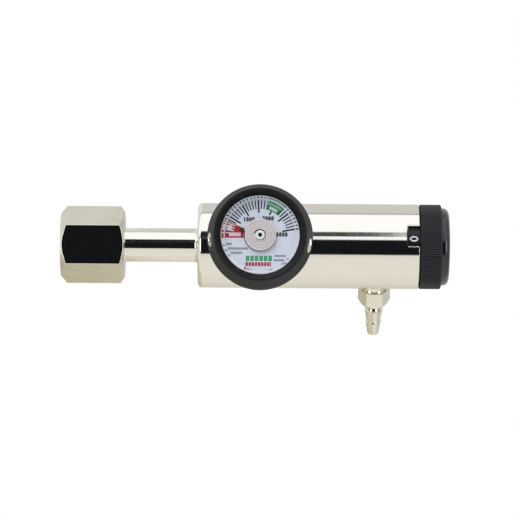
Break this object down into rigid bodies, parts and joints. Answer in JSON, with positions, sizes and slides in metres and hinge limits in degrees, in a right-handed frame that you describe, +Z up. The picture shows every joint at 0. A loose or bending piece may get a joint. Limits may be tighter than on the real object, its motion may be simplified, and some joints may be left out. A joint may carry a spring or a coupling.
{
  "type": "oxygen regulator",
  "caption": "Plated barrel oxygen regulator with hexagon inlet nut, dial pressure gauge in a rubber boot, ribbed flow selector knob and hose barb.",
  "frame": {"origin": "centre of the round land on the inlet nose, which the cylinder valve's outlet takes in", "axes": "+X along the barrel from the inlet to the flow knob, -Y out of the gauge's face, +Z up"},
  "size_m": [0.1655, 0.0748, 0.0579],
  "materials": {
    "nickel_plate": "bright nickel plate on brass",
    "brass": "machined",
    "sintered_bronze": "sintered, porous",
    "spring_steel": "bright",
    "disc_steel": "lapped",
    "black_anodised": "satin black anodised",
    "knob_plastic": "satin black",
    "cap_plastic": "glossy black",
    "seat_plastic": "natural",
    "seal_rubber": "moulded",
    "boot_rubber": "matt moulded",
    "gauge_plate": "plated",
    "dial_enamel": "printed",
    "tube_bronze": "tinned",
    "pointer_black": "matt black",
    "lens": "clear moulded plastic"
  },
  "bodies": {
    "regulator": {"inlet_nipple": "nickel_plate", "nipple_o_ring": "seal_rubber", "inlet_filter": "sintered_bronze", "regulator_body": "nickel_plate", "seat_holder": "brass", "valve_seat": "seat_plastic", "stem_o_ring": "seal_rubber", "piston_spring": "spring_steel", "outlet_block": "brass", "outlet_block_o_rings": "seal_rubber", "port_seal": "seal_rubber", "selector_bonnet": "brass", "spindle_o_ring": "seal_rubber", "detent_spring": "spring_steel", "snap_ring": "spring_steel", "gauge_stem": "brass", "gauge_case": "gauge_plate", "gauge_dial": "dial_enamel", "gauge_lens": "lens", "gauge_boot": "boot_rubber", "hose_barb": "nickel_plate", "barb_gasket": "seal_rubber"},
    "nut_ring": {"nut_friction_ring": "seal_rubber"},
    "nut": {"inlet_nut": "nickel_plate"},
    "knob": {"flow_knob": "knob_plastic", "knob_cap": "cap_plastic", "knob_screw": "spring_steel", "number_drum": "black_anodised", "selector_spindle": "brass", "orifice_disc": "disc_steel"},
    "pointer": {"gauge_pointer": "pointer_black", "bourdon_spiral": "tube_bronze"},
    "piston": {"piston": "brass", "piston_o_ring": "seal_rubber"},
    "ball": {"detent_ball": "spring_steel"}
  },
  "joints": [
    {"name": "nut_slide", "type": "slide", "parent": "regulator", "child": "nut_ring", "axis": [1, 0, 0], "range_m": [0, 0.029]},
    {"name": "nut_spin", "type": "hinge", "parent": "nut_ring", "child": "nut", "pos_m": [0, 0, 0], "axis": [1, 0, 0], "continuous": true},
    {"name": "knob_turn", "type": "hinge", "parent": "regulator", "child": "knob", "pos_m": [0.14, 0, 0], "axis": [1, 0, 0], "continuous": true},
    {"name": "pointer_turn", "type": "hinge", "parent": "regulator", "child": "pointer", "pos_m": [0.0677, -0.0396, 0], "axis": [0, 1, 0], "range_deg": [0, 154], "stiffness_Nm_per_rad": 0.0005, "deforming": ["bourdon_spiral"]},
    {"name": "piston_slide", "type": "slide", "parent": "regulator", "child": "piston", "axis": [-1, 0, 0], "range_m": [0, 0.0008], "stiffness_N_per_m": 1000, "deforming": ["piston_spring"]},
    {"name": "ball_slide", "type": "slide", "parent": "regulator", "child": "ball", "axis": [-1, 0, 0], "range_m": [0, 0.0004], "stiffness_N_per_m": 50, "deforming": ["detent_spring"]}
  ]
}
